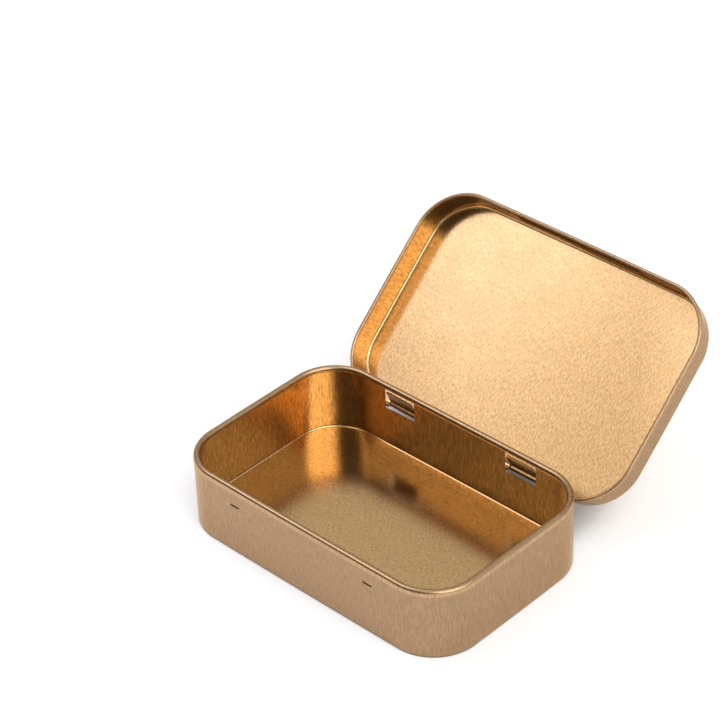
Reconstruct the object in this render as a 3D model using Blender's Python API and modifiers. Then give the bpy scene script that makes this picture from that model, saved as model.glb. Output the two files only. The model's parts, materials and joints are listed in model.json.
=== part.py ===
"""Hinged metal tin, standing open: a drawn tray and a shallow lid on two sheet tongues.

Lengths are metres, +Z is up and +X runs along the long side. The tray stands on z = 0 with its
centre on the Z axis, and the hinge is at its back, the +Y side. The lid is drawn as if closed,
about the hinge axis, and its parent turns it to the open angle.
"""
import math

import bmesh
import bpy

# Sheet
sheet = 0.00022

# Tray
tray_length = 0.0910
tray_width = 0.0588
tray_height = 0.0208
corner_radius = 0.0131
long_wall_bow = 0.00024
short_wall_bow = 0.00022
tray_foot_radius = 0.0008
rim_roll_radius = 0.0009
rim_roll_sweep_deg = 288

# Lid, closed
lid_clearance = 0.0005
lid_headroom = 0.0003
lid_depth = 0.0079
lid_bend_radius = 0.0011
lid_roll_radius = 0.0005
lid_roll_sweep_deg = 270

# Long thumb recess pressed into the front of the lid
recess_end_inset = 0.0237
recess_depth = 0.0003
recess_end_run = 0.0020
recess_drop = 0.0033
recess_lip_height = 0.0003
recess_floor_height = 0.0015
recess_flank_land = 0.0002

# Catch nibs pressed out of the front of the tray
nib_end_inset = 0.0226
nib_drop = 0.00585
nib_width = 0.0042
nib_height = 0.0017
nib_stand = 0.00033
nib_dimple_width = 0.0038
nib_dimple_height = 0.0014
nib_dimple_depth = 0.00025

# Hinge windows in the back of the tray
window_end_inset = 0.0246
window_width = 0.0104
window_sill_drop = 0.0016
window_top_land = 0.0004
window_corner_radius = 0.0004

# Hinge tongues on the lid
tongue_side_gap = 0.00035
tongue_relief_gap = 0.0006
tongue_sill_gap = 0.00018
tongue_sill_rise = 0.0011
tongue_bend_radius = 0.0002
tongue_bead_stand = 0.0004
tongue_tilt_deg = 18
tongue_reach = 0.0039
tongue_tip_taper_width = 0.0011
tongue_tip_taper_length = 0.0016

# Hinge axis and the open angle
hinge_setback = 0.0009
hinge_rise = 0.0008
open_angle_deg = 137.9

# Overrun of the window cutters beyond the wall
cut_overrun = 0.0006

# Facets of the arcs and of the straight sides
corner_steps = 8
bend_steps = 4
rim_roll_steps = 16
lid_roll_steps = 12
tray_side_steps = 8
tray_end_steps = 5
tip_steps = 4
nib_segments = 20
nib_rings = 10

# Places of the columns of vertices: between the hinges and along the recess floor, on the lid's
# ends, down each end of the recess, and across a tongue
middle_column_shares = (-0.67, -0.33, 0, 0.33, 0.67)
lid_end_shares = (-0.5, 0, 0.5)
recess_end_shares = (0, 0.3, 0.5, 0.7, 1)
tongue_column_shares = (-1, -0.5, 0, 0.5, 1)

# Sizes that follow
half_length = tray_length / 2
half_width = tray_width / 2
lid_top = tray_height + lid_headroom + sheet
lid_edge = lid_top - lid_depth
window_sill = lid_edge - window_sill_drop
window_top = tray_height - 2 * rim_roll_radius - window_top_land
straight_x = half_length - corner_radius
straight_y = half_width - corner_radius
hinge_x = half_length - window_end_inset
nib_x = half_length - nib_end_inset
recess_x = half_length - recess_end_inset
tongue_width = window_width - 2 * tongue_side_gap
relief_width = tongue_width + 2 * tongue_relief_gap
axis_y = half_width + hinge_setback
axis_z = window_sill + hinge_rise


def collection(name):
    made = bpy.data.collections.new(name)
    bpy.context.scene.collection.children.link(made)
    return made


def material(name, colour, roughness, metallic):
    made = bpy.data.materials.new(name)
    made.use_nodes = True
    shader = made.node_tree.nodes["Principled BSDF"]
    shader.inputs["Base Color"].default_value = (*colour, 1)
    shader.inputs["Roughness"].default_value = roughness
    shader.inputs["Metallic"].default_value = metallic
    return made


def wall_bow(x):
    """How far the long walls stand out at x."""
    return long_wall_bow * (1 - (x / half_length) ** 2)


def even(count):
    """Shares that cut a straight run into equal steps, without its two ends."""
    return [2 * step / count - 1 for step in range(1, count)]


def outline(growth, back, front, ends):
    """A ring round the tin, grown outward: rounded corners, sides bowed slightly outward.

    back and front are x places of the columns on the long sides, ends are y places on the others.
    """
    long_half = half_length + growth
    wide_half = half_width + growth
    radius = corner_radius + growth
    ring = []

    def corner(side_x, side_y, start_deg):
        for step in range(corner_steps + 1):
            turn = math.radians(start_deg + 90 * step / corner_steps)
            x = side_x * straight_x + radius * math.cos(turn)
            y = side_y * straight_y + radius * math.sin(turn)
            ring.append((x, y))

    corner(1, 1, 0)
    ring.extend((x, wide_half) for x in sorted(back, reverse=True))
    corner(-1, 1, 90)
    ring.extend((-long_half, y) for y in sorted(ends, reverse=True))
    corner(-1, -1, 180)
    ring.extend((x, -wide_half) for x in sorted(front))
    corner(1, -1, 270)
    ring.extend((long_half, y) for y in sorted(ends))
    bowed = []
    for x, y in ring:
        share_x = x / long_half
        share_y = y / wide_half
        side_x = short_wall_bow * (1 - share_y ** 2) * share_x
        side_y = long_wall_bow * (1 - share_x ** 2) * share_y
        bowed.append((x + side_x, y + side_y))
    return bowed


def loft(shape, profile, back, front, ends):
    """Bridge one ring of the outline per point (growth, z) of the profile and cap the first."""
    loops = []
    for growth, z in profile:
        verts = [shape.verts.new((x, y, z)) for x, y in outline(growth, back, front, ends)]
        pairs = zip(verts, verts[1:] + verts[:1])
        loops.append((verts, [shape.edges.new(pair) for pair in pairs]))
    for (_, lower), (_, upper) in zip(loops, loops[1:]):
        bmesh.ops.bridge_loops(shape, edges=lower + upper)
    cap = shape.faces.new(loops[0][0])
    bmesh.ops.recalc_face_normals(shape, faces=shape.faces)
    return [verts for verts, _ in loops], cap


def face_down(shape, cap):
    """Turn the whole surface so that the flat cap looks down."""
    cap.normal_update()
    if cap.normal.z > 0:
        bmesh.ops.reverse_faces(shape, faces=shape.faces)


def sheet_object(name, shape, cap, paint, home):
    """A sheet-metal piece: the surface is one face of the sheet, Solidify gives it thickness."""
    for face in shape.faces:
        face.smooth = face is not cap
    mesh = bpy.data.meshes.new(name)
    shape.to_mesh(mesh)
    shape.free()
    mesh.materials.append(paint)
    made = bpy.data.objects.new(name, mesh)
    home.objects.link(made)
    thicken = made.modifiers.new("sheet", "SOLIDIFY")
    thicken.thickness = sheet
    thicken.offset = -1
    thicken.use_even_offset = True
    thicken.use_quality_normals = True
    return made


def arc(centre_growth, centre_z, radius, start_deg, sweep_deg, steps):
    """Profile points round a circle, without the first one."""
    points = []
    for step in range(1, steps + 1):
        turn = math.radians(start_deg + sweep_deg * step / steps)
        points.append((centre_growth + radius * math.cos(turn), centre_z + radius * math.sin(turn)))
    return points


def tray_profile():
    """The outer face of the tray: foot bend, wall, and the rim rolled inward."""
    profile = [(-tray_foot_radius, 0)]
    profile += arc(-tray_foot_radius, tray_foot_radius, tray_foot_radius, -90, 90, bend_steps)
    roll_z = tray_height - rim_roll_radius
    profile.append((0, roll_z))
    profile += arc(-rim_roll_radius, roll_z, rim_roll_radius, 0, rim_roll_sweep_deg, rim_roll_steps)
    return profile


def lid_profile():
    """The inner face of the lid: panel bend, skirt, and the edge rolled outward."""
    inner_radius = lid_bend_radius - sheet
    under_panel = lid_top - sheet
    centre = lid_clearance - inner_radius
    profile = [(centre, under_panel)]
    profile += arc(centre, under_panel - inner_radius, inner_radius, 90, -90, bend_steps)
    profile += [(lid_clearance, z) for z in recess_levels()]
    roll_z = lid_edge + lid_roll_radius
    profile.append((lid_clearance, roll_z))
    centre = lid_clearance + lid_roll_radius
    profile += arc(centre, roll_z, lid_roll_radius, 180, lid_roll_sweep_deg, lid_roll_steps)
    return profile


def recess_levels():
    """Heights of the recess on the closed lid: lip top, floor top, crease, end of the flank."""
    lip = lid_top - recess_drop
    floor_top = lip - recess_lip_height
    crease = floor_top - recess_floor_height
    flank_end = lid_edge + 2 * lid_roll_radius + recess_flank_land
    return [lip, floor_top, crease, flank_end]


def recess_inset(x, z):
    """How far the recess pushes the front skirt inward at a place on it."""
    lip, floor_top, crease, flank_end = recess_levels()
    if z >= lip or z <= flank_end:
        return 0
    if z > floor_top:
        down = (lip - z) / (lip - floor_top)
    elif z >= crease:
        down = 1
    else:
        down = (z - flank_end) / (crease - flank_end)
    run = (recess_x - abs(x)) / recess_end_run
    run = min(max(run, 0), 1)
    return recess_depth * down * run * run * (3 - 2 * run)


def fillet(before, corner, after, radius):
    """Points of a round bend between two straight stretches of a path in the plane across X."""
    def unit(point):
        across = point[0] - corner[0]
        along = point[1] - corner[1]
        size = math.hypot(across, along)
        return across / size, along / size

    first = unit(before)
    last = unit(after)
    half_turn = math.acos(first[0] * last[0] + first[1] * last[1]) / 2
    run = radius / math.tan(half_turn)
    middle = (first[0] + last[0], first[1] + last[1])
    scale = radius / math.sin(half_turn) / math.hypot(*middle)
    centre = (corner[0] + middle[0] * scale, corner[1] + middle[1] * scale)
    start = (corner[0] + first[0] * run - centre[0], corner[1] + first[1] * run - centre[1])
    end = (corner[0] + last[0] * run - centre[0], corner[1] + last[1] * run - centre[1])
    turn = math.atan2(start[0] * end[1] - start[1] * end[0], start[0] * end[0] + start[1] * end[1])
    points = []
    for step in range(bend_steps + 1):
        swing = turn * step / bend_steps
        y = centre[0] + start[0] * math.cos(swing) - start[1] * math.sin(swing)
        z = centre[1] + start[0] * math.sin(swing) + start[1] * math.cos(swing)
        points.append((y, z))
    return points


def tongue_path():
    """The tray-side face of a tongue, closed, as (y, z, distance left to the tip).

    It leaves the skirt in an outward bead, as wide as the rolled edge beside it, steps in through
    the window above the sill, and drops inside the tray, tilted so that it clears the sill and still
    stands in the window when the lid is open.
    """
    wall_outer = half_width + wall_bow(hinge_x)
    skirt_y = wall_outer + lid_clearance
    step_z = window_sill + tongue_sill_rise
    tilt = math.radians(tongue_tilt_deg)
    sill_y = wall_outer - sheet
    clear = tongue_sill_gap + sheet
    line_y = sill_y - clear * math.cos(tilt)
    line_z = window_sill + clear * math.sin(tilt)
    elbow = (line_y + (step_z - line_z) * math.tan(tilt), step_z)
    tip = (line_y - tongue_reach * math.sin(tilt), line_z - tongue_reach * math.cos(tilt))
    root = (skirt_y, lid_edge + lid_roll_radius)
    turn_in = (skirt_y, step_z)
    bead = (skirt_y + tongue_bead_stand, (root[1] + step_z) / 2)
    points = fillet(root, bead, turn_in, tongue_bend_radius)
    points += fillet(bead, turn_in, elbow, tongue_bend_radius)
    points += fillet(turn_in, elbow, tip, tongue_bend_radius + sheet)
    path = [(y, z, math.hypot(y - tip[0], z - tip[1])) for y, z in points]
    for step in range(tip_steps + 1):
        left = tongue_tip_taper_length * (1 - math.sin(math.radians(90 * step / tip_steps)))
        path.append((tip[0] + left * math.sin(tilt), tip[1] + left * math.cos(tilt), left))
    return path


def tongue_half_width(left):
    """Half the tongue's width at a distance from its tip, whose corners are rounded off."""
    share = min(left / tongue_tip_taper_length, 1)
    rounding = 1 - math.sqrt(1 - (1 - share) ** 2)
    return tongue_width / 2 - tongue_tip_taper_width * rounding


def at_hinge(place, width):
    """Whether a place on the back of the lid lies within a width centred on one of the hinges."""
    slack = tongue_relief_gap / 2
    return place.y > 0 and abs(abs(place.x) - hinge_x) < width / 2 + slack


def add_tongues(shape, root_rings):
    """Cut the lid's rolled edge away at each hinge and draw the tongue out of the skirt."""
    root = root_rings[0]
    rolled = {face for ring in root_rings[1:] for vert in ring for face in vert.link_faces}
    gone = [face for face in rolled if at_hinge(face.calc_center_median(), relief_width)]
    bmesh.ops.delete(shape, geom=gone, context="FACES")
    for side in (-1, 1):
        centre = side * hinge_x
        row = [vert for vert in root if at_hinge(vert.co, tongue_width) and vert.co.x * side > 0]
        edges = [edge for edge in shape.edges if edge.is_boundary and set(edge.verts) <= set(row)]
        for y, z, left in tongue_path():
            drawn = bmesh.ops.extrude_edge_only(shape, edges=edges)["geom"]
            edges = [piece for piece in drawn if isinstance(piece, bmesh.types.BMEdge)]
            verts = [piece for piece in drawn if isinstance(piece, bmesh.types.BMVert)]
            edges = [edge for edge in edges if set(edge.verts) <= set(verts)]
            verts.sort(key=lambda vert: vert.co.x)
            for vert, share in zip(verts, tongue_column_shares):
                x = centre + share * tongue_width / 2
                vert.co = (centre + share * tongue_half_width(left), y + wall_bow(x) - wall_bow(hinge_x), z)


def build_tray(home, cutters, paint):
    """The tray: floor, bowed walls and rolled rim in one sheet, with windows and nibs."""
    sides = [share * straight_x for share in even(tray_side_steps)]
    ends = [share * straight_y for share in even(tray_end_steps)]
    shape = bmesh.new()
    _, cap = loft(shape, tray_profile(), sides, sides, ends)
    face_down(shape, cap)
    tray = sheet_object("base_tray", shape, cap, paint, home)
    for side in (-1, 1):
        window = window_cutter(side, cutters)
        cut_with(tray, window, "DIFFERENCE")
    for side in (-1, 1):
        bump = nib_solid("nib", side, 0, nib_width, nib_stand, nib_height, cutters)
        cut_with(tray, bump, "UNION")
        dimple = nib_solid("nib_dimple", side, sheet, nib_dimple_width, nib_dimple_depth,
                           nib_dimple_height, cutters)
        cut_with(tray, dimple, "DIFFERENCE")
    return tray


def window_cutter(side, home):
    """A block through the back wall, rounded at the four corners of the window."""
    shape = bmesh.new()
    bmesh.ops.create_cube(shape, size=1)
    depth = sheet + long_wall_bow + 2 * cut_overrun
    height = window_top - window_sill
    bmesh.ops.scale(shape, vec=(window_width, depth, height), verts=shape.verts)
    along_y = [edge for edge in shape.edges if abs(edge.verts[0].co.y - edge.verts[1].co.y) > depth / 2]
    bmesh.ops.bevel(shape, geom=along_y, offset=window_corner_radius, segments=bend_steps,
                    affect="EDGES", profile=0.5)
    centre_y = half_width + (long_wall_bow - sheet) / 2
    where = (side * hinge_x, centre_y, (window_top + window_sill) / 2)
    return helper("window", shape, where, home)


def nib_solid(name, side, depth, width, stand, height, home):
    """A flattened ball on the front wall, for the nib or for the dimple behind it."""
    x = side * nib_x
    shape = bmesh.new()
    bmesh.ops.create_uvsphere(shape, u_segments=nib_segments, v_segments=nib_rings, radius=1)
    bmesh.ops.scale(shape, vec=(width / 2, stand, height / 2), verts=shape.verts)
    where = (x, depth - half_width - wall_bow(x), tray_height - nib_drop)
    return helper(name, shape, where, home)


def helper(name, shape, where, home):
    mesh = bpy.data.meshes.new(name)
    bmesh.ops.recalc_face_normals(shape, faces=shape.faces)
    shape.to_mesh(mesh)
    shape.free()
    made = bpy.data.objects.new(name, mesh)
    made.location = where
    made.display_type = "WIRE"
    made.hide_render = True
    home.objects.link(made)
    return made


def cut_with(target, tool, operation):
    modifier = target.modifiers.new(tool.name, "BOOLEAN")
    modifier.operation = operation
    modifier.solver = "EXACT"
    modifier.object = tool


def build_lid(home, paint):
    """The lid: panel, skirt, recess, rolled edge and two hinge tongues in one sheet."""
    relief_inner = hinge_x - relief_width / 2
    relief_outer = hinge_x + relief_width / 2
    back = [share * relief_inner for share in middle_column_shares]
    front = [share * (recess_x - recess_end_run) for share in middle_column_shares]
    for side in (-1, 1):
        back += [side * hinge_x + share * tongue_width / 2 for share in tongue_column_shares]
        back += [side * relief_inner, side * relief_outer, side * (relief_outer + straight_x) / 2]
        front += [side * (recess_x - share * recess_end_run) for share in recess_end_shares]
        front.append(side * (recess_x + straight_x) / 2)
    ends = [share * straight_y for share in lid_end_shares]
    shape = bmesh.new()
    profile = lid_profile()
    rings, cap = loft(shape, profile, back, front, ends)
    face_down(shape, cap)
    root_rings = rings[-1 - lid_roll_steps:]
    for vert in (vert for ring in rings[:-lid_roll_steps] for vert in ring):
        if vert.co.y < -half_width:
            vert.co.y += recess_inset(vert.co.x, vert.co.z)
    add_tongues(shape, root_rings)
    bmesh.ops.recalc_face_normals(shape, faces=shape.faces)
    face_down(shape, cap)
    bmesh.ops.translate(shape, vec=(0, -axis_y, -axis_z), verts=shape.verts)
    return sheet_object("lid", shape, cap, paint, home)


def hang_lid(lid, home):
    """Seat the lid on the hinge axis and turn it to the open angle."""
    axis = bpy.data.objects.new("lid_hinge_axis", None)
    axis.location = (0, axis_y, axis_z)
    axis.rotation_euler = (-math.radians(open_angle_deg), 0, 0)
    axis.empty_display_size = hinge_setback
    home.objects.link(axis)
    lid.parent = axis


def main():
    for old in list(bpy.data.objects):
        bpy.data.objects.remove(old)
    tin = collection("hinged_metal_tin")
    cutters = collection("cutters")
    gold = material("tray_gold_lacquer", (0.55, 0.36, 0.19), 0.32, 1)
    pale_gold = material("lid_gold_lacquer", (0.68, 0.47, 0.26), 0.28, 1)
    build_tray(tin, cutters, gold)
    lid = build_lid(tin, pale_gold)
    hang_lid(lid, tin)


main()
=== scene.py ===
"""Scene for the hinged metal tin: smooth sheet-metal shells, gold lacquer, light and camera.

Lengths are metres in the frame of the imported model: +Z up, +X along the long side, hinge at +Y.
The lid's shell is drawn as if closed, about the hinge axis, and its mesh is then turned open.
"""
import json
import math

import bmesh
import bpy
from mathutils import Matrix, Vector


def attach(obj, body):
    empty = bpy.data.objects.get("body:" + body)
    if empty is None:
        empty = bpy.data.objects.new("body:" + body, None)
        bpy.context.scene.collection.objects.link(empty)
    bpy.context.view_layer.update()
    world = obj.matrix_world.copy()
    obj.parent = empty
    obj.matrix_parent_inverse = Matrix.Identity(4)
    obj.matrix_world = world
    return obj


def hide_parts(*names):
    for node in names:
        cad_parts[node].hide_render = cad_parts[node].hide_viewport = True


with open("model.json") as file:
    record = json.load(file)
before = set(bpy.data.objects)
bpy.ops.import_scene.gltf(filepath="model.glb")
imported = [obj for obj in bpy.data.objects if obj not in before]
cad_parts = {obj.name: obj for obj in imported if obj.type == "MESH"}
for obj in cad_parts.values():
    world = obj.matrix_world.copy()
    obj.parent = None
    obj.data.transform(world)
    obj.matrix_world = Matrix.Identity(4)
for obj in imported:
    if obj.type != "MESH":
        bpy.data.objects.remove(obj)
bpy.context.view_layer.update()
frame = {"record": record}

# Driving sizes, as in the part
sheet = 0.00022
tray_length = 0.0910
tray_width = 0.0588
tray_height = 0.0208
corner_radius = 0.0131
long_wall_bow = 0.00024
short_wall_bow = 0.00022
tray_foot_radius = 0.0008
rim_roll_radius = 0.0009
rim_roll_sweep_deg = 288

lid_clearance = 0.0005
lid_headroom = 0.0003
lid_depth = 0.0079
lid_bend_radius = 0.0011
lid_roll_radius = 0.0005
lid_roll_sweep_deg = 270

recess_end_inset = 0.0237
recess_depth = 0.0003
recess_end_run = 0.0020
recess_drop = 0.0033
recess_lip_height = 0.0003
recess_floor_height = 0.0015
recess_flank_land = 0.0002

nib_end_inset = 0.0226
nib_drop = 0.00585
nib_width = 0.0042
nib_height = 0.0017
nib_stand = 0.00033
nib_crest_share = 0.3
nib_foot_power = 4
nib_side_power = 6

window_end_inset = 0.0246
window_width = 0.0104
window_sill_drop = 0.0016
window_top_land = 0.0004
window_corner_radius = 0.0004

tongue_side_gap = 0.00035
tongue_relief_gap = 0.0006
tongue_sill_gap = 0.00018
tongue_sill_rise = 0.0011
tongue_bend_radius = 0.0002
tongue_bead_stand = 0.0004
tongue_tilt_deg = 18
tongue_reach = 0.0039
tongue_tip_taper_width = 0.0011
tongue_tip_taper_length = 0.0016

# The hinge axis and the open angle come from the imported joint
hinge = frame["record"]["behaviour"]["joints"][0]
axis_y = hinge["pos_m"][1]
axis_z = hinge["pos_m"][2]
open_angle = math.radians(hinge["range_deg"][1])

# Facets: finer than the solids, so that every edge is smooth in a close view
corner_steps = 28
bend_steps = 10
rim_roll_steps = 40
lid_roll_steps = 30
tongue_bend_steps = 8
tip_steps = 8
plain_step = 0.0030
detail_step = 0.00016
recess_lip_step = detail_step / 2
recess_step = plain_step / 6
same_place = detail_step / 8
same_edge = sheet / 4
window_corner_slack = 1.01
sharp_edge_deg = 40

half_length = tray_length / 2
half_width = tray_width / 2
straight_x = half_length - corner_radius
straight_y = half_width - corner_radius
lid_top = tray_height + lid_headroom + sheet
lid_edge = lid_top - lid_depth
window_sill = lid_edge - window_sill_drop
window_top = tray_height - 2 * rim_roll_radius - window_top_land
hinge_x = half_length - window_end_inset
nib_x = half_length - nib_end_inset
recess_x = half_length - recess_end_inset
tongue_width = window_width - 2 * tongue_side_gap
relief_width = tongue_width + 2 * tongue_relief_gap


def wall_bow(x):
    """How far the long walls stand out at x."""
    return long_wall_bow * (1 - (x / half_length) ** 2)


def spaced(low, high, step):
    """Even places from low to high, both ends in, no further apart than about step."""
    count = max(1, round((high - low) / step))
    return [low + (high - low) * index / count for index in range(count)] + [high]


def distinct(places):
    """The places in rising order, without those that fall on one already there."""
    kept = []
    for place in sorted(places):
        if not kept or place - kept[-1] > same_place:
            kept.append(place)
    return kept


def columns(marks, dense):
    """Places along a straight side: plain steps between the marks, fine steps in dense runs."""
    edges = distinct([-straight_x, straight_x, *marks])
    places = []
    for low, high in zip(edges, edges[1:]):
        fine = any(start <= (low + high) / 2 <= end for start, end in dense)
        places += spaced(low, high, detail_step if fine else plain_step)
    return distinct(places)[1:-1]


def outline(growth, back, front, ends):
    """A ring round the tin, grown outward: rounded corners, sides bowed slightly outward."""
    long_half = half_length + growth
    wide_half = half_width + growth
    radius = corner_radius + growth
    ring = []

    def corner(side_x, side_y, start_deg):
        for step in range(corner_steps + 1):
            turn = math.radians(start_deg + 90 * step / corner_steps)
            x = side_x * straight_x + radius * math.cos(turn)
            y = side_y * straight_y + radius * math.sin(turn)
            ring.append((x, y))

    corner(1, 1, 0)
    ring.extend((x, wide_half) for x in sorted(back, reverse=True))
    corner(-1, 1, 90)
    ring.extend((-long_half, y) for y in sorted(ends, reverse=True))
    corner(-1, -1, 180)
    ring.extend((x, -wide_half) for x in sorted(front))
    corner(1, -1, 270)
    ring.extend((long_half, y) for y in sorted(ends))
    bowed = []
    for x, y in ring:
        share_x = x / long_half
        share_y = y / wide_half
        side_x = short_wall_bow * (1 - share_y ** 2) * share_x
        side_y = long_wall_bow * (1 - share_x ** 2) * share_y
        bowed.append((x + side_x, y + side_y))
    return bowed


def turn_faces(shape, cap):
    """Make all faces agree, with the cap looking down."""
    bmesh.ops.recalc_face_normals(shape, faces=shape.faces)
    cap.normal_update()
    if cap.normal.z > 0:
        bmesh.ops.reverse_faces(shape, faces=shape.faces)


def loft(shape, profile, back, front, ends):
    """One ring of the outline per point (growth, z) of the profile, joined, the first one capped."""
    rings = []
    for growth, z in profile:
        rings.append([shape.verts.new((x, y, z)) for x, y in outline(growth, back, front, ends)])
    for lower, upper in zip(rings, rings[1:]):
        count = len(lower)
        for index in range(count):
            after = (index + 1) % count
            shape.faces.new((lower[index], lower[after], upper[after], upper[index]))
    cap = shape.faces.new(rings[0])
    turn_faces(shape, cap)
    return rings, cap


def arc(centre_growth, centre_z, radius, start_deg, sweep_deg, steps):
    """Profile points round a circle, without the first one."""
    points = []
    for step in range(1, steps + 1):
        turn = math.radians(start_deg + sweep_deg * step / steps)
        points.append((centre_growth + radius * math.cos(turn), centre_z + radius * math.sin(turn)))
    return points


def tray_levels():
    """Heights of the rows on the tray's wall: fine at the window corners and at the nibs."""
    nib_z = tray_height - nib_drop
    dense = [(nib_z - nib_height / 2, nib_z + nib_height / 2),
             (window_sill, window_sill + window_corner_radius),
             (window_top - window_corner_radius, window_top)]
    edges = distinct([tray_foot_radius, tray_height - rim_roll_radius, *sum(dense, ())])
    levels = []
    for low, high in zip(edges, edges[1:]):
        fine = any(start <= (low + high) / 2 <= end for start, end in dense)
        levels += spaced(low, high, detail_step if fine else plain_step)
    return distinct(levels)[1:]


def tray_profile():
    """The tray's outer face as (growth, z): its foot, its wall and the inward roll of its rim."""
    profile = [(-tray_foot_radius, 0)]
    profile += arc(-tray_foot_radius, tray_foot_radius, tray_foot_radius, -90, 90, bend_steps)
    profile += [(0, z) for z in tray_levels()]
    roll_z = tray_height - rim_roll_radius
    profile += arc(-rim_roll_radius, roll_z, rim_roll_radius, 0, rim_roll_sweep_deg, rim_roll_steps)
    return profile


def nib_out(x, z):
    """How far a nib pushes the front wall outward: a small pad, sloped above and steep below."""
    across = abs(abs(x) - nib_x) / (nib_width / 2)
    up = (z - tray_height + nib_drop) / (nib_height / 2)
    if across >= 1 or abs(up) >= 1:
        return 0
    if up > nib_crest_share:
        fall = (up - nib_crest_share) / (1 - nib_crest_share)
    else:
        fall = ((nib_crest_share - up) / (1 + nib_crest_share)) ** nib_foot_power
    return nib_stand * (1 - fall) * (1 - across ** nib_side_power)


def recess_levels():
    """Heights of the recess on the closed lid: lip top, floor top, crease, end of the flank."""
    lip = lid_top - recess_drop
    floor_top = lip - recess_lip_height
    crease = floor_top - recess_floor_height
    flank_end = lid_edge + 2 * lid_roll_radius + recess_flank_land
    return [lip, floor_top, crease, flank_end]


def recess_inset(x, z):
    """How far the recess pushes the front skirt inward at a place on it."""
    lip, floor_top, crease, flank_end = recess_levels()
    if z >= lip or z <= flank_end:
        return 0
    if z > floor_top:
        down = (lip - z) / (lip - floor_top)
    elif z >= crease:
        down = 1
    else:
        down = (z - flank_end) / (crease - flank_end)
    run = (recess_x - abs(x)) / recess_end_run
    run = min(max(run, 0), 1)
    eased = run * run * (3 - 2 * run)
    return recess_depth * down * eased


def lid_profile():
    """The lid's inner face as (growth, z): its bend, its skirt and the outward roll of its edge."""
    inner_radius = lid_bend_radius - sheet
    under_panel = lid_top - sheet
    profile = [(lid_clearance - inner_radius, under_panel)]
    profile += arc(lid_clearance - inner_radius, under_panel - inner_radius, inner_radius, 90, -90,
                   bend_steps)
    lip, floor_top, crease, flank_end = recess_levels()
    levels = spaced(floor_top, lip, recess_lip_step)
    levels += spaced(crease, floor_top, recess_step)
    levels += spaced(flank_end, crease, recess_step)
    profile += [(lid_clearance, z) for z in reversed(distinct(levels))]
    roll_z = lid_edge + lid_roll_radius
    profile.append((lid_clearance, roll_z))
    profile += arc(lid_clearance + lid_roll_radius, roll_z, lid_roll_radius, 180, lid_roll_sweep_deg,
                   lid_roll_steps)
    return profile


def fillet(before, corner, after, radius, steps):
    """Points of a round bend between two straight stretches of a path in the plane across X."""
    corner = Vector(corner)
    first = (Vector(before) - corner).normalized()
    last = (Vector(after) - corner).normalized()
    half_turn = first.angle(last) / 2
    run = radius / math.tan(half_turn)
    centre = corner + (first + last).normalized() * (radius / math.sin(half_turn))
    start = corner + first * run - centre
    end = corner + last * run - centre
    turn = math.atan2(start.x * end.y - start.y * end.x, start.dot(end))
    points = []
    for step in range(steps + 1):
        swing = Matrix.Rotation(turn * step / steps, 2)
        points.append(centre + swing @ start)
    return points


def tongue_path():
    """The tray-side face of a tongue, closed, as (y, z, distance left to the tip)."""
    wall_outer = half_width + wall_bow(hinge_x)
    skirt_y = wall_outer + lid_clearance
    step_z = window_sill + tongue_sill_rise
    tilt = math.radians(tongue_tilt_deg)
    clear = tongue_sill_gap + sheet
    line_y = wall_outer - sheet - clear * math.cos(tilt)
    line_z = window_sill + clear * math.sin(tilt)
    elbow = (line_y + (step_z - line_z) * math.tan(tilt), step_z)
    tip = Vector((line_y - tongue_reach * math.sin(tilt), line_z - tongue_reach * math.cos(tilt)))
    root = (skirt_y, lid_edge + lid_roll_radius)
    turn_in = (skirt_y, step_z)
    bead = (skirt_y + tongue_bead_stand, (root[1] + step_z) / 2)
    points = fillet(root, bead, turn_in, tongue_bend_radius, tongue_bend_steps)
    points += fillet(bead, turn_in, elbow, tongue_bend_radius, tongue_bend_steps)
    points += fillet(turn_in, elbow, tip, tongue_bend_radius + sheet, tongue_bend_steps)
    path = [(point.x, point.y, (point - tip).length) for point in points]
    for step in range(tip_steps + 1):
        left = tongue_tip_taper_length * (1 - math.sin(math.radians(90 * step / tip_steps)))
        path.append((tip.x + left * math.sin(tilt), tip.y + left * math.cos(tilt), left))
    return path


def tongue_half_width(left):
    """Half the tongue's width at a distance from its tip, whose corners are rounded off."""
    share = min(left / tongue_tip_taper_length, 1)
    rounding = 1 - math.sqrt(1 - (1 - share) ** 2)
    return tongue_width / 2 - tongue_tip_taper_width * rounding


def add_tongues(shape, rings, root_index):
    """Cut the rolled edge away at each hinge and draw the tongue out of the skirt."""
    rolled = {vert for ring in rings[root_index + 1:] for vert in ring}
    gone = []
    for face in shape.faces:
        centre = face.calc_center_median()
        near = abs(abs(centre.x) - hinge_x) < relief_width / 2
        if centre.y > 0 and near and any(vert in rolled for vert in face.verts):
            gone.append(face)
    bmesh.ops.delete(shape, geom=gone, context="FACES")
    path = tongue_path()
    for side in (-1, 1):
        centre = side * hinge_x
        row = [vert for vert in rings[root_index]
               if vert.co.y > 0 and abs(vert.co.x - centre) < tongue_width / 2 + same_edge]
        row.sort(key=lambda vert: vert.co.x)
        shares = [(vert.co.x - centre) / (tongue_width / 2) for vert in row]
        bows = [wall_bow(vert.co.x) - wall_bow(hinge_x) for vert in row]
        for y, z, left in path:
            width = tongue_half_width(left)
            fresh = [shape.verts.new((centre + share * width, y + bow, z))
                     for share, bow in zip(shares, bows)]
            for first in range(len(row) - 1):
                shape.faces.new((row[first], row[first + 1], fresh[first + 1], fresh[first]))
            row = fresh


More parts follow.
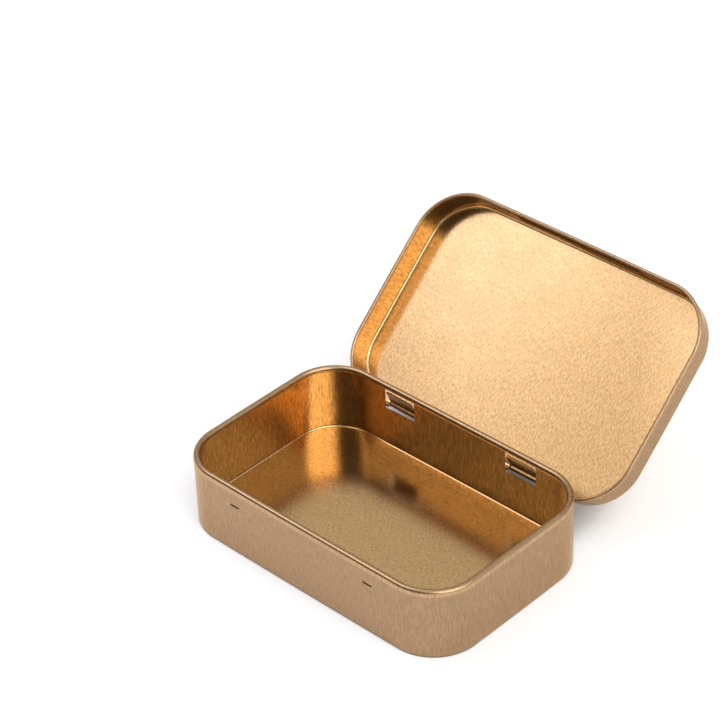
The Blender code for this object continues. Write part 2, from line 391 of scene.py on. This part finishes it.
def cut_windows(shape):
    """Open the two windows in the back wall and round their corners."""
    gone = []
    for face in shape.faces:
        centre = face.calc_center_median()
        across = abs(abs(centre.x) - hinge_x) < window_width / 2
        if centre.y > straight_y and across and window_sill < centre.z < window_top:
            if centre.y > half_width - sheet:
                gone.append(face)
    bmesh.ops.delete(shape, geom=gone, context="FACES")
    middle_z = (window_sill + window_top) / 2
    half_height = (window_top - window_sill) / 2
    radius = window_corner_radius
    limit = radius * window_corner_slack
    diagonal = math.radians(45)
    for vert in shape.verts:
        if vert.co.y < half_width - sheet or not vert.is_boundary:
            continue
        side = math.copysign(1, vert.co.x)
        across = vert.co.x - side * hinge_x
        up = vert.co.z - middle_z
        past_x = abs(across) - (window_width / 2 - radius)
        past_z = abs(up) - (half_height - radius)
        if min(past_x, past_z) < 0 or max(past_x, past_z) > limit:
            continue
        turn = diagonal + diagonal * (past_z - past_x) / radius
        new_x = window_width / 2 - radius + radius * math.cos(turn)
        new_z = half_height - radius + radius * math.sin(turn)
        vert.co.x = side * hinge_x + math.copysign(new_x, across)
        vert.co.z = middle_z + math.copysign(new_z, up)


def finish_sheet(name, shape, slots):
    """Thicken the surface to the sheet, bake it, and keep only its true edges sharp."""
    mesh = bpy.data.meshes.new(name)
    shape.to_mesh(mesh)
    shape.free()
    for slot in slots:
        mesh.materials.append(slot)
    made = bpy.data.objects.new(name, mesh)
    bpy.context.scene.collection.objects.link(made)
    thicken = made.modifiers.new("sheet", "SOLIDIFY")
    thicken.thickness = sheet
    thicken.offset = -1
    thicken.use_even_offset = True
    thicken.use_quality_normals = True
    thicken.material_offset_rim = 1
    bpy.context.view_layer.update()
    ready = made.evaluated_get(bpy.context.evaluated_depsgraph_get())
    baked = bpy.data.meshes.new_from_object(ready)
    made.modifiers.clear()
    made.data = baked
    baked.name = name
    baked.shade_smooth()
    baked.set_sharp_from_angle(angle=math.radians(sharp_edge_deg))
    return made


def build_tray(slots):
    """The tray's shell: floor, bowed walls, nibs, hinge windows and the rolled rim."""
    half_window = window_width / 2
    radius = window_corner_radius
    back_marks = []
    back_dense = []
    front_marks = []
    front_dense = []
    for side in (-1, 1):
        for end in (-1, 1):
            edge = side * hinge_x + end * half_window
            inside = edge - end * radius
            back_marks += [edge, inside]
            back_dense.append((min(edge, inside), max(edge, inside)))
        middle = side * nib_x
        reach = nib_width / 2
        front_marks += [middle - reach, middle + reach]
        front_dense.append((middle - reach, middle + reach))
    ends = spaced(-straight_y, straight_y, plain_step)[1:-1]
    shape = bmesh.new()
    back = columns(back_marks, back_dense)
    front = columns(front_marks, front_dense)
    loft(shape, tray_profile(), back, front, ends)
    for vert in shape.verts:
        if vert.co.y < -half_width:
            vert.co.y -= nib_out(vert.co.x, vert.co.z)
    cut_windows(shape)
    return finish_sheet("tray_shell", shape, slots)


def build_lid(slots):
    """The lid's shell: panel, skirt, thumb recess, rolled edge and the two hinge tongues."""
    back_marks = []
    back_dense = []
    front_marks = []
    front_dense = []
    for side in (-1, 1):
        for end in (-1, 1):
            tongue_edge = side * hinge_x + end * tongue_width / 2
            relief_edge = side * hinge_x + end * relief_width / 2
            back_marks += [tongue_edge, relief_edge]
        outer = side * recess_x
        inner = outer - side * recess_end_run
        front_marks += [outer, inner]
        front_dense.append((min(outer, inner), max(outer, inner)))
    ends = spaced(-straight_y, straight_y, plain_step)[1:-1]
    shape = bmesh.new()
    back = columns(back_marks, back_dense)
    front = columns(front_marks, front_dense)
    profile = lid_profile()
    rings, cap = loft(shape, profile, back, front, ends)
    root_index = len(profile) - 1 - lid_roll_steps
    for ring in rings[:root_index + 1]:
        for vert in ring:
            if vert.co.y < -half_width:
                vert.co.y += recess_inset(vert.co.x, vert.co.z)
    add_tongues(shape, rings, root_index)
    turn_faces(shape, cap)
    bmesh.ops.translate(shape, vec=(0, -axis_y, -axis_z), verts=shape.verts)
    lid = finish_sheet("lid_shell", shape, slots)
    turned = Matrix.Translation((0, axis_y, axis_z)) @ Matrix.Rotation(-open_angle, 4, "X")
    lid.data.transform(turned)
    return lid


# Materials: colours, roughness and grain. A grain's scales are along X, Y and Z, per metre, and its
# depth is the tone of its darkest strokes

black = (0, 0, 0, 1)
lacquer_colour = (0.80, 0.51, 0.232, 1)
# The outside colour is painted shade: a darker tone for the outside of the walls
outside_shade_colour = (0.445, 0.284, 0.162, 1)
# The rolled edge's colour: darker and browner than the lacquer
rim_band_colour = (0.60, 0.39, 0.21, 1)
cut_edge_colour = (0.60, 0.47, 0.34, 1)
grazing_tint = (1.0, 0.86, 0.72, 1)
coat_weight = 0.08
coat_roughness = 0.22

flat_roughness = 0.18
wall_roughness = 0.20
rim_band_roughness = 0.33
cut_edge_roughness_low = 0.25
cut_edge_roughness_high = 0.45
cut_edge_scale = 4000.0
cloud_depth = 0.12
cloud_scale = 90.0
cloud_detail = 2.0

flat_grain_scales = (3800, 1000, 3800)
flat_grain_detail = 2.0
flat_grain_depth = 0.6
flat_bump = 0.18
wall_grain_scales = (2700, 2700, 480)
wall_grain_detail = 3.0
outer_grain_depth = 0.72
inner_grain_depth = 0.50
wall_bump = 0.1
grain_height = 0.00008

# The used range of a noise, how level the sheet is where its wall look ends and where its flat look
# is full, and the share of a rolled edge's half height that has its own colour and roughness in full
noise_low = 0.3
noise_high = 0.7
wall_level_share = 0.5
flat_level_share = 0.9
rim_band_full_share = 0.8

# How far a face looks away from the middle of the tin where its outside look, painted shade and
# deeper grain, is full. The lid's reach lies just under its skirt's, so that its tongues, which lie
# further in, stay lacquer.
tray_outside_reach = 0.0040
lid_outside_reach = 0.0285
outside_blend = 0.0025


def node_maker(tree):
    """A short way to add a node, set its values and inputs, and link others into it."""
    def add(kind, links=(), **values):
        node = tree.nodes.new(kind)
        for name, value in values.items():
            setattr(node, name, value)
        for socket, source in links:
            if hasattr(source, "links"):
                tree.links.new(source, node.inputs[socket])
            else:
                node.inputs[socket].default_value = source
        return node
    return add


def number_between(add, factor, low, high):
    """A number between two others, each a value or a socket."""
    mixed = add("ShaderNodeMix", [("Factor", factor), ("A", low), ("B", high)], data_type="FLOAT")
    return mixed.outputs["Result"]


def colour_between(add, factor, low, high):
    """A colour between two others, each a value or a socket."""
    mixed = add("ShaderNodeMix", [("Factor", factor), ("A", low), ("B", high)], data_type="RGBA")
    return mixed.outputs["Result"]


def closed_place(add, turned):
    """Where a point lies and where it faces, read as if its part were turned back closed."""
    where = add("ShaderNodeTexCoord")
    place = add("ShaderNodeVectorRotate", [("Vector", where.outputs["Object"]),
                                           ("Center", (0, axis_y, axis_z)), ("Angle", turned)],
                rotation_type="X_AXIS")
    facing = add("ShaderNodeVectorRotate", [("Vector", where.outputs["Normal"]), ("Angle", turned)],
                 rotation_type="X_AXIS")
    return place.outputs[0], facing.outputs[0]


def flat_mask(add, facing):
    """1 where the sheet lies flat and 0 on its walls."""
    normal = add("ShaderNodeSeparateXYZ", [(0, facing)])
    size = add("ShaderNodeMath", [(0, normal.outputs["Z"])], operation="ABSOLUTE")
    flat = add("ShaderNodeMapRange", [("Value", size.outputs[0]), ("From Min", wall_level_share),
                                      ("From Max", flat_level_share)])
    return flat.outputs[0]


def outside_mask(add, place, facing, reach):
    """1 where the face looks away from the middle of the tin by more than the reach."""
    outward = add("ShaderNodeVectorMath", [(0, facing), (1, place)], operation="DOT_PRODUCT")
    outside = add("ShaderNodeMapRange", [("Value", outward.outputs["Value"]),
                                         ("From Min", reach - outside_blend), ("From Max", reach)])
    return outside.outputs[0]


def rim_band_mask(add, place, low, high):
    """1 on the rolled edge, between its two heights."""
    half = (high - low) / 2
    level = add("ShaderNodeSeparateXYZ", [(0, place)])
    above = add("ShaderNodeMath", [(0, level.outputs["Z"]), (1, (low + high) / 2)],
                operation="SUBTRACT")
    away = add("ShaderNodeMath", [(0, above.outputs[0])], operation="ABSOLUTE")
    rim_band = add("ShaderNodeMapRange", [("Value", away.outputs[0]), ("From Min", half),
                                      ("From Max", rim_band_full_share * half)])
    return rim_band.outputs[0]


def grain(add, place, scales, detail):
    """Fine strokes, as a noise that is stretched along the sheet."""
    stretched = add("ShaderNodeMapping", [("Vector", place), ("Scale", scales)])
    noise = add("ShaderNodeTexNoise", [("Vector", stretched.outputs[0]), ("Scale", 1.0),
                                       ("Detail", detail)])
    return noise.outputs[0]


def cloudy(add, place):
    """A slow unevenness, as a factor near 1."""
    cloud = add("ShaderNodeTexNoise", [("Vector", place), ("Scale", cloud_scale),
                                       ("Detail", cloud_detail)])
    uneven = add("ShaderNodeMapRange", [("Value", cloud.outputs[0]), ("From Min", noise_low),
                                        ("From Max", noise_high), ("To Min", 1 - cloud_depth),
                                        ("To Max", 1 + cloud_depth)])
    return uneven.outputs[0]


def new_metal(name):
    """A material with a plain metal shader, and the short way to add its nodes."""
    made = bpy.data.materials.new(name)
    made.use_nodes = True
    shader = made.node_tree.nodes["Principled BSDF"]
    shader.inputs["Metallic"].default_value = 1
    return made, shader, node_maker(made.node_tree)


def gold_lacquer(name, turned, edge_low, edge_high, outside_reach):
    """Lacquered tinplate: fine short grain along the sheet, upright on walls, with a clear coat.

    A part that is drawn turned open about the hinge axis has its grain read as if it were closed.
    The outside of its walls gets a darker colour, which is painted shade, and its rolled edge, which
    lies between two heights, gets a browner colour and a rougher finish.
    """
    made, shader, add = new_metal(name)
    link = made.node_tree.links.new
    place, facing = closed_place(add, turned)
    flat = flat_mask(add, facing)
    outside = outside_mask(add, place, facing, outside_reach)
    rim_band = rim_band_mask(add, place, edge_low, edge_high)

    strokes = number_between(add, flat, grain(add, place, wall_grain_scales, wall_grain_detail),
                             grain(add, place, flat_grain_scales, flat_grain_detail))
    wall_depth = number_between(add, outside, inner_grain_depth, outer_grain_depth)
    depth = number_between(add, flat, wall_depth, flat_grain_depth)
    spread = add("ShaderNodeMapRange", [("Value", strokes), ("From Min", noise_low),
                                        ("From Max", noise_high), ("To Min", depth), ("To Max", 1.0)])

    # Painted shade: the outside of the walls takes the darker outside colour
    wall = add("ShaderNodeMath", [(0, 1.0), (1, flat)], operation="SUBTRACT")
    painted_outside_shade = add("ShaderNodeMath", [(0, outside), (1, wall.outputs[0])], operation="MULTIPLY")
    sides = colour_between(add, painted_outside_shade.outputs[0], lacquer_colour, outside_shade_colour)
    # The rolled edge takes its own darker, browner colour
    edges = colour_between(add, rim_band, sides, rim_band_colour)
    link(colour_between(add, spread.outputs[0], black, edges), shader.inputs["Base Color"])

    smooth = number_between(add, flat, wall_roughness, flat_roughness)
    smooth_or_rim_band = number_between(add, rim_band, smooth, rim_band_roughness)
    gloss = add("ShaderNodeMath", [(0, smooth_or_rim_band), (1, cloudy(add, place))], operation="MULTIPLY")
    link(gloss.outputs[0], shader.inputs["Roughness"])

    strength = number_between(add, flat, wall_bump, flat_bump)
    bump = add("ShaderNodeBump", [("Height", strokes), ("Strength", strength),
                                  ("Distance", grain_height)])
    link(bump.outputs[0], shader.inputs["Normal"])
    shader.inputs["Specular Tint"].default_value = grazing_tint
    shader.inputs["Coat Weight"].default_value = coat_weight
    shader.inputs["Coat Roughness"].default_value = coat_roughness
    return made


def cut_steel():
    """The bare cut edge of the sheet."""
    made, shader, add = new_metal("bare_cut_edge")
    where = add("ShaderNodeTexCoord")
    noise = add("ShaderNodeTexNoise", [("Vector", where.outputs["Object"]), ("Scale", cut_edge_scale)])
    gloss = add("ShaderNodeMapRange", [("Value", noise.outputs[0]), ("To Min", cut_edge_roughness_low),
                                       ("To Max", cut_edge_roughness_high)])
    made.node_tree.links.new(gloss.outputs[0], shader.inputs["Roughness"])
    shader.inputs["Base Color"].default_value = cut_edge_colour
    return made


# Stage and light. The floor gets a painted shadow close to the tin: how dark, how far from it, and
# the shares of open sky between which it brightens

floor_half = 3.0
floor_colour = 0.85
floor_glow = 0.32
floor_painted_shadow_reach = 0.045
floor_painted_shadow_level = 0.12
floor_painted_shadow_start = 0.22
floor_painted_shadow_end = 0.46
floor_painted_shadow_samples = 16

# The room: an even level, with soft lit and dark patches: azimuth from +X, elevation, the angles
# where the patch is full and where it ends, and the level that it adds or, below zero, takes away
room_level = 0.45
room_patches = (
    (350, 44, 16, 35, 2.5),
    (135, 32, 8, 24, 0.24),
    (52, 34, 8, 30, 0.22),
    (0, 90, 20, 45, 0.35),
    (258, 20, 38, 60, -0.38),
)

# Two soft boxes edge to edge in one plane, seen from the tin along the key direction and tilted
# there: each one's left and right edge, its level and its tint
key_direction = (-0.5725, -0.519, 0.634)
key_distance = 0.45
key_tilt_deg = -17.8
key_foot = -0.017
key_head = 0.300
key_boxes = (
    ("key_bright", -0.260, -0.022, 2.2, (1.0, 0.985, 1.19)),
    ("key_plain", -0.022, 0.150, 0.89, (1, 0.96, 0.87)),
)


def build_floor():
    """A plain white floor: it takes the tin's shadow, with a painted shadow added close to the tin,
    and shows white to the camera and in gloss.
    """
    shape = bmesh.new()
    bmesh.ops.create_grid(shape, x_segments=1, y_segments=1, size=floor_half)
    mesh = bpy.data.meshes.new("floor")
    shape.to_mesh(mesh)
    shape.free()
    floor = bpy.data.objects.new("floor", mesh)
    bpy.context.scene.collection.objects.link(floor)
    made = bpy.data.materials.new("floor_white")
    made.use_nodes = True
    tree = made.node_tree
    tree.nodes.clear()
    add = node_maker(tree)
    path = add("ShaderNodeLightPath")
    seen = add("ShaderNodeMath", [(0, path.outputs["Is Camera Ray"]),
                                  (1, path.outputs["Is Glossy Ray"])], operation="MAXIMUM")
    shown = add("ShaderNodeMath", [(0, seen.outputs[0]), (1, path.outputs["Is Transmission Ray"])],
                operation="MAXIMUM")
    # Painted shadow: the floor's colour and glow are darkened where the tin closes off the open sky
    # nearby
    open_sky = add("ShaderNodeAmbientOcclusion", [("Distance", floor_painted_shadow_reach)],
                   samples=floor_painted_shadow_samples)
    painted_shadow = add("ShaderNodeMapRange", [("Value", open_sky.outputs["AO"]),
                                      ("From Min", floor_painted_shadow_start), ("From Max", floor_painted_shadow_end),
                                      ("To Min", floor_painted_shadow_level)])
    lit = add("ShaderNodeMath", [(0, painted_shadow.outputs[0]), (1, floor_glow)], operation="MULTIPLY")
    glow = add("ShaderNodeMath", [(0, shown.outputs[0]), (1, lit.outputs[0])], operation="MULTIPLY")
    light = add("ShaderNodeEmission", [("Strength", glow.outputs[0])])
    shade = add("ShaderNodeMath", [(0, painted_shadow.outputs[0]), (1, floor_colour)], operation="MULTIPLY")
    matt = add("ShaderNodeBsdfDiffuse", [("Color", shade.outputs[0])])
    both = add("ShaderNodeAddShader", [(0, matt.outputs[0]), (1, light.outputs[0])])
    out = add("ShaderNodeOutputMaterial")
    tree.links.new(both.outputs[0], out.inputs["Surface"])
    mesh.materials.append(made)


def sky_way(azimuth_deg, elevation_deg):
    """The direction to a place in the sky, azimuth counted from +X towards +Y."""
    azimuth = math.radians(azimuth_deg)
    elevation = math.radians(elevation_deg)
    level = math.cos(elevation)
    return (level * math.cos(azimuth), level * math.sin(azimuth), math.sin(elevation))


def build_world():
    """A plain pale room with softly lit and darker sides."""
    world = bpy.data.worlds.new("studio")
    bpy.context.scene.world = world
    world.use_nodes = True
    tree = world.node_tree
    tree.nodes.clear()
    add = node_maker(tree)
    where = add("ShaderNodeTexCoord")
    total = room_level
    for azimuth, elevation, full, end, level in room_patches:
        nearness = add("ShaderNodeVectorMath", [(0, where.outputs["Generated"]),
                                                (1, sky_way(azimuth, elevation))],
                       operation="DOT_PRODUCT")
        patch = add("ShaderNodeMapRange", [("Value", nearness.outputs["Value"]),
                                           ("From Min", math.cos(math.radians(end))),
                                           ("From Max", math.cos(math.radians(full))),
                                           ("To Max", level)], interpolation_type="SMOOTHSTEP")
        sum_so_far = add("ShaderNodeMath", [(0, total), (1, patch.outputs[0])], operation="ADD")
        total = sum_so_far.outputs[0]
    light = add("ShaderNodeBackground", [("Color", (1, 1, 1, 1)), ("Strength", total)])
    out = add("ShaderNodeOutputWorld")
    tree.links.new(light.outputs[0], out.inputs["Surface"])


def build_light():
    """Soft boxes side by side, facing the tin along the key direction."""
    way = Vector(key_direction).normalized()
    level_across = Vector((0, 0, 1)).cross(way).normalized()
    across = Matrix.Rotation(math.radians(key_tilt_deg), 3, way) @ level_across
    up = way.cross(across)
    middle = Vector((0, half_width, tray_height))
    height = key_head - key_foot
    above = (key_head + key_foot) / 2
    for name, left, right, level, tint in key_boxes:
        width = right - left
        beside = (left + right) / 2
        data = bpy.data.lights.new(name, "AREA")
        data.shape = "RECTANGLE"
        data.size = width
        data.size_y = height
        data.energy = level * math.pi * width * height
        data.color = tint
        lamp = bpy.data.objects.new(name, data)
        bpy.context.scene.collection.objects.link(lamp)
        matrix = Matrix((across, up, way)).transposed().to_4x4()
        matrix.translation = middle + way * key_distance + across * beside + up * above
        lamp.matrix_world = matrix


# The camera, found by fitting the rim, the foot and the open lid to the photograph
picture_side = 720
focal_pixels = 2613.0
centre_x_pixels = 361.6
centre_y_pixels = 368.4
camera_azimuth_deg = 44.72
camera_elevation_deg = 35.546
camera_roll_deg = -2.329
camera_distance = 0.6692
camera_aside = -0.0038
camera_above = 0.0430
camera_clip_start = 0.01
sensor_mm = 36.0


def build_camera():
    """The camera at its fitted place, looking across the tray's middle, with its slight roll."""
    azimuth = math.radians(camera_azimuth_deg)
    elevation = math.radians(camera_elevation_deg)
    roll = math.radians(camera_roll_deg)
    level = math.cos(elevation)
    forward = -Vector((math.sin(azimuth) * level, -math.cos(azimuth) * level, math.sin(elevation)))
    right = Vector((math.cos(azimuth), math.sin(azimuth), 0))
    up = right.cross(forward)
    place = -forward * camera_distance + right * camera_aside + up * camera_above
    turned_right = right * math.cos(roll) + up * math.sin(roll)
    turned_up = up * math.cos(roll) - right * math.sin(roll)
    data = bpy.data.cameras.new("camera")
    data.sensor_width = sensor_mm
    data.lens = focal_pixels / picture_side * sensor_mm
    data.shift_x = (picture_side / 2 - centre_x_pixels) / picture_side
    data.shift_y = (centre_y_pixels - picture_side / 2) / picture_side
    data.clip_start = camera_clip_start
    camera = bpy.data.objects.new("camera", data)
    bpy.context.scene.collection.objects.link(camera)
    matrix = Matrix((turned_right, turned_up, -forward)).transposed().to_4x4()
    matrix.translation = place
    camera.matrix_world = matrix
    bpy.context.scene.camera = camera


def main():
    bpy.context.scene.view_settings.view_transform = "Standard"
    tray_gold = gold_lacquer("tray_gold", 0, tray_height - 2 * rim_roll_radius,
                             tray_height + rim_roll_radius, tray_outside_reach)
    lid_gold = gold_lacquer("lid_gold", open_angle, lid_edge - lid_roll_radius,
                            lid_edge + 2 * lid_roll_radius, lid_outside_reach)
    edge = cut_steel()
    tray = build_tray([tray_gold, edge])
    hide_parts("base_tray")
    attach(tray, "tray")
    lid = build_lid([lid_gold, edge])
    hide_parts("lid")
    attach(lid, "lid")
    build_floor()
    build_world()
    build_light()
    build_camera()


main()
